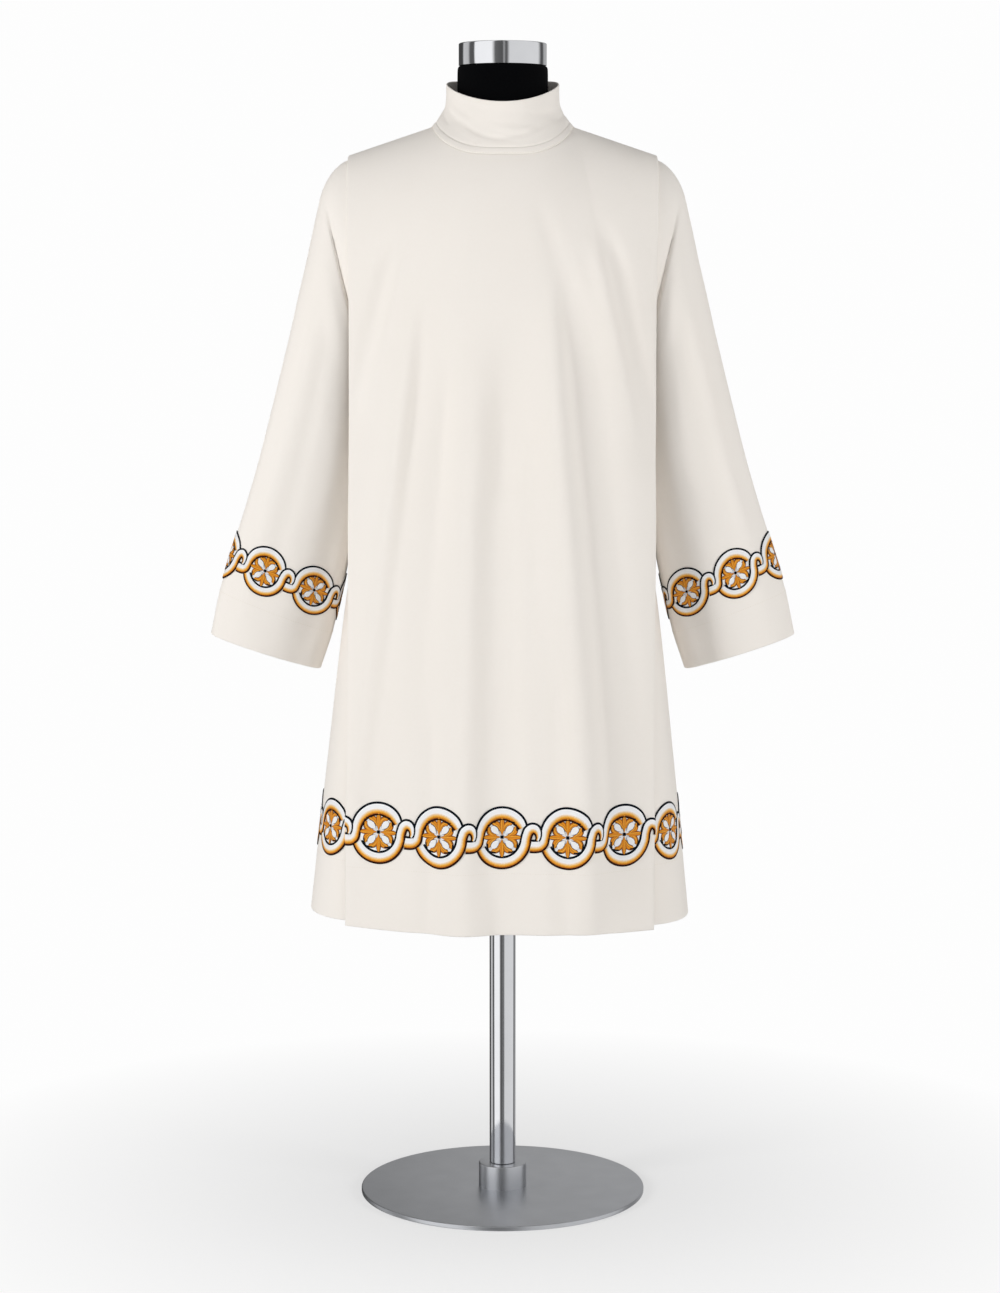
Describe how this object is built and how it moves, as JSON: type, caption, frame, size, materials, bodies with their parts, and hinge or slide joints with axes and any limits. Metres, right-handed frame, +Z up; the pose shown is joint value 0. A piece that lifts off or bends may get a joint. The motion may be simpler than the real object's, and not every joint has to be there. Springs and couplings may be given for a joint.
{
  "type": "surplice on a dress form",
  "caption": "Cream surplice with a standing collar, wide straight sleeves, pressed side pleats and roundel borders at hem and cuffs, on a limbless dress form with a round base.",
  "frame": {"origin": "on the floor under the middle of the stand's base, which is the middle of the whole part's footprint", "axes": "+Z is up, -Y is the front of the garment, and +X is to the right of someone who looks at the front"},
  "size_m": [0.7604, 0.38, 1.521],
  "materials": {
    "cloth": "cream plain-weave cloth, soft and matt",
    "embroidery": "satin-stitched thread in gold, white and dark blue-grey",
    "form_cover": "black jersey, matt",
    "neck_cap": "polished",
    "pole": "polished",
    "base": "brushed"
  },
  "bodies": {
    "root": {"front_panel": "cloth", "back_panel": "cloth", "side_panel_left": "cloth", "side_panel_right": "cloth", "sleeve_left": "cloth", "sleeve_right": "cloth", "collar": "cloth", "hem_border_front": "embroidery", "hem_border_back": "embroidery", "hem_border_left": "embroidery", "hem_border_right": "embroidery", "cuff_border_left": "embroidery", "cuff_border_right": "embroidery", "form_torso": "form_cover", "form_neck_cap": "neck_cap", "stand_pole": "pole", "stand_base": "base"}
  },
  "joints": []
}
